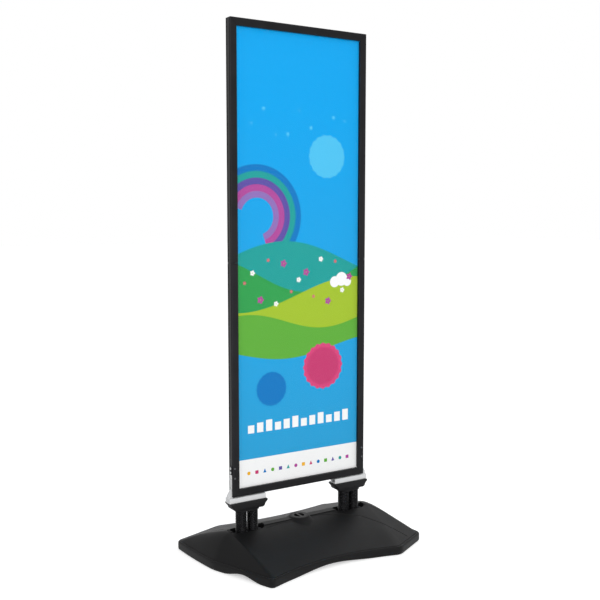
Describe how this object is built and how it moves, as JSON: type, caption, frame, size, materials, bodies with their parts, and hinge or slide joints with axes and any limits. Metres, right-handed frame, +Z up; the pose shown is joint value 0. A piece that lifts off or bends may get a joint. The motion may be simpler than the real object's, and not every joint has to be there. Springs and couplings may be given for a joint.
{
  "type": "spring base poster stand",
  "caption": "Double-sided snap-frame poster stand that sways on coil springs above a low moulded ballast base.",
  "frame": {"origin": "on the ground under the middle of the panel and the filler cap", "axes": "+Z up, +X along the panel to the right as seen from the front, the front poster faces -Y"},
  "size_m": [0.7626, 0.5202, 1.7616],
  "materials": {
    "tank_plastic": "black blow-moulded polyethylene",
    "ballast": "water ballast, hidden in the tank",
    "cap_plastic": "black moulded plastic",
    "seal_rubber": "black rubber",
    "plate_steel": "zinc-plated steel",
    "bolt_steel": "dark plated steel",
    "insert_brass": "brass",
    "spring_steel": "black painted spring steel",
    "head_plastic": "black moulded nylon",
    "bracket_paint": "light grey powder coat",
    "frame_black": "black powder-coated aluminium",
    "key_zinc": "die-cast",
    "board": "white foamed PVC",
    "paper": "printed poster",
    "clear_sheet": "clear anti-glare sheet"
  },
  "bodies": {
    "base": {"base_tank": "tank_plastic", "ballast_water": "ballast", "foot_plate_left": "plate_steel", "foot_plate_right": "plate_steel", "foot_bolts": "bolt_steel", "foot_washers": "plate_steel", "foot_inserts": "insert_brass", "lower_plugs": "plate_steel", "lower_plug_bolts": "bolt_steel", "spring_left_outer": "spring_steel", "spring_left_inner": "spring_steel", "spring_right_inner": "spring_steel", "spring_right_outer": "spring_steel"},
    "cap": {"filler_cap": "cap_plastic", "filler_seal": "seal_rubber"},
    "panel": {"upper_plugs": "plate_steel", "head_bolts": "bolt_steel", "spring_head_left": "head_plastic", "spring_head_right": "head_plastic", "bracket_left": "bracket_paint", "bracket_right": "bracket_paint", "bracket_screws": "plate_steel", "strap_screws": "plate_steel", "clamp_plate_left": "frame_black", "clamp_plate_right": "frame_black", "clamp_screws": "plate_steel", "frame_top": "frame_black", "frame_bottom": "frame_black", "frame_left": "frame_black", "frame_right": "frame_black", "corner_keys": "key_zinc", "backing_board": "board", "poster_front": "paper", "poster_back": "paper", "cover_front": "clear_sheet", "cover_back": "clear_sheet", "leaf_springs_front": "plate_steel", "leaf_springs_back": "plate_steel"},
    "front_rail_top": {"front_rail_top": "frame_black"},
    "front_rail_bottom": {"front_rail_bottom": "frame_black"},
    "front_rail_left_upper": {"front_rail_left_upper": "frame_black"},
    "front_rail_left_lower": {"front_rail_left_lower": "frame_black", "rivets_front_left": "plate_steel"},
    "front_rail_right_upper": {"front_rail_right_upper": "frame_black"},
    "front_rail_right_lower": {"front_rail_right_lower": "frame_black", "rivets_front_right": "plate_steel"},
    "back_rail_top": {"back_rail_top": "frame_black"},
    "back_rail_bottom": {"back_rail_bottom": "frame_black"},
    "back_rail_left_upper": {"back_rail_left_upper": "frame_black"},
    "back_rail_left_lower": {"back_rail_left_lower": "frame_black", "rivets_back_left": "plate_steel"},
    "back_rail_right_upper": {"back_rail_right_upper": "frame_black"},
    "back_rail_right_lower": {"back_rail_right_lower": "frame_black", "rivets_back_right": "plate_steel"}
  },
  "joints": [
    {"name": "panel_sway", "type": "hinge", "parent": "base", "child": "panel", "pos_m": [0, 0, 0.1255], "axis": [1, 0, 0], "range_deg": [-25, 25], "stiffness_Nm_per_rad": 400, "deforming": ["spring_left_outer", "spring_left_inner", "spring_right_inner", "spring_right_outer"]},
    {"name": "filler_cap_turn", "type": "hinge", "parent": "base", "child": "cap", "pos_m": [0, 0, 0.103], "axis": [0, 0, 1], "range_deg": [0, 90]},
    {"name": "front_rail_top_open", "type": "hinge", "parent": "panel", "child": "front_rail_top", "pos_m": [0, -0.00965, 1.759], "axis": [-1, 0, 0], "range_deg": [0, 90]},
    {"name": "front_rail_bottom_open", "type": "hinge", "parent": "panel", "child": "front_rail_bottom", "pos_m": [0, -0.00965, 0.215], "axis": [1, 0, 0], "range_deg": [0, 90]},
    {"name": "front_rail_left_upper_open", "type": "hinge", "parent": "panel", "child": "front_rail_left_upper", "pos_m": [-0.262, -0.00965, 1.374], "axis": [0, 0, -1], "range_deg": [0, 90]},
    {"name": "front_rail_left_lower_open", "type": "hinge", "parent": "panel", "child": "front_rail_left_lower", "pos_m": [-0.262, -0.00965, 0.6], "axis": [0, 0, -1], "range_deg": [0, 90]},
    {"name": "front_rail_right_upper_open", "type": "hinge", "parent": "panel", "child": "front_rail_right_upper", "pos_m": [0.262, -0.00965, 1.374], "axis": [0, 0, 1], "range_deg": [0, 90]},
    {"name": "front_rail_right_lower_open", "type": "hinge", "parent": "panel", "child": "front_rail_right_lower", "pos_m": [0.262, -0.00965, 0.6], "axis": [0, 0, 1], "range_deg": [0, 90]},
    {"name": "back_rail_top_open", "type": "hinge", "parent": "panel", "child": "back_rail_top", "pos_m": [0, 0.00965, 1.759], "axis": [1, 0, 0], "range_deg": [0, 90]},
    {"name": "back_rail_bottom_open", "type": "hinge", "parent": "panel", "child": "back_rail_bottom", "pos_m": [0, 0.00965, 0.215], "axis": [-1, 0, 0], "range_deg": [0, 90]},
    {"name": "back_rail_left_upper_open", "type": "hinge", "parent": "panel", "child": "back_rail_left_upper", "pos_m": [-0.262, 0.00965, 1.374], "axis": [0, 0, 1], "range_deg": [0, 90]},
    {"name": "back_rail_left_lower_open", "type": "hinge", "parent": "panel", "child": "back_rail_left_lower", "pos_m": [-0.262, 0.00965, 0.6], "axis": [0, 0, 1], "range_deg": [0, 90]},
    {"name": "back_rail_right_upper_open", "type": "hinge", "parent": "panel", "child": "back_rail_right_upper", "pos_m": [0.262, 0.00965, 1.374], "axis": [0, 0, -1], "range_deg": [0, 90]},
    {"name": "back_rail_right_lower_open", "type": "hinge", "parent": "panel", "child": "back_rail_right_lower", "pos_m": [0.262, 0.00965, 0.6], "axis": [0, 0, -1], "range_deg": [0, 90]}
  ]
}
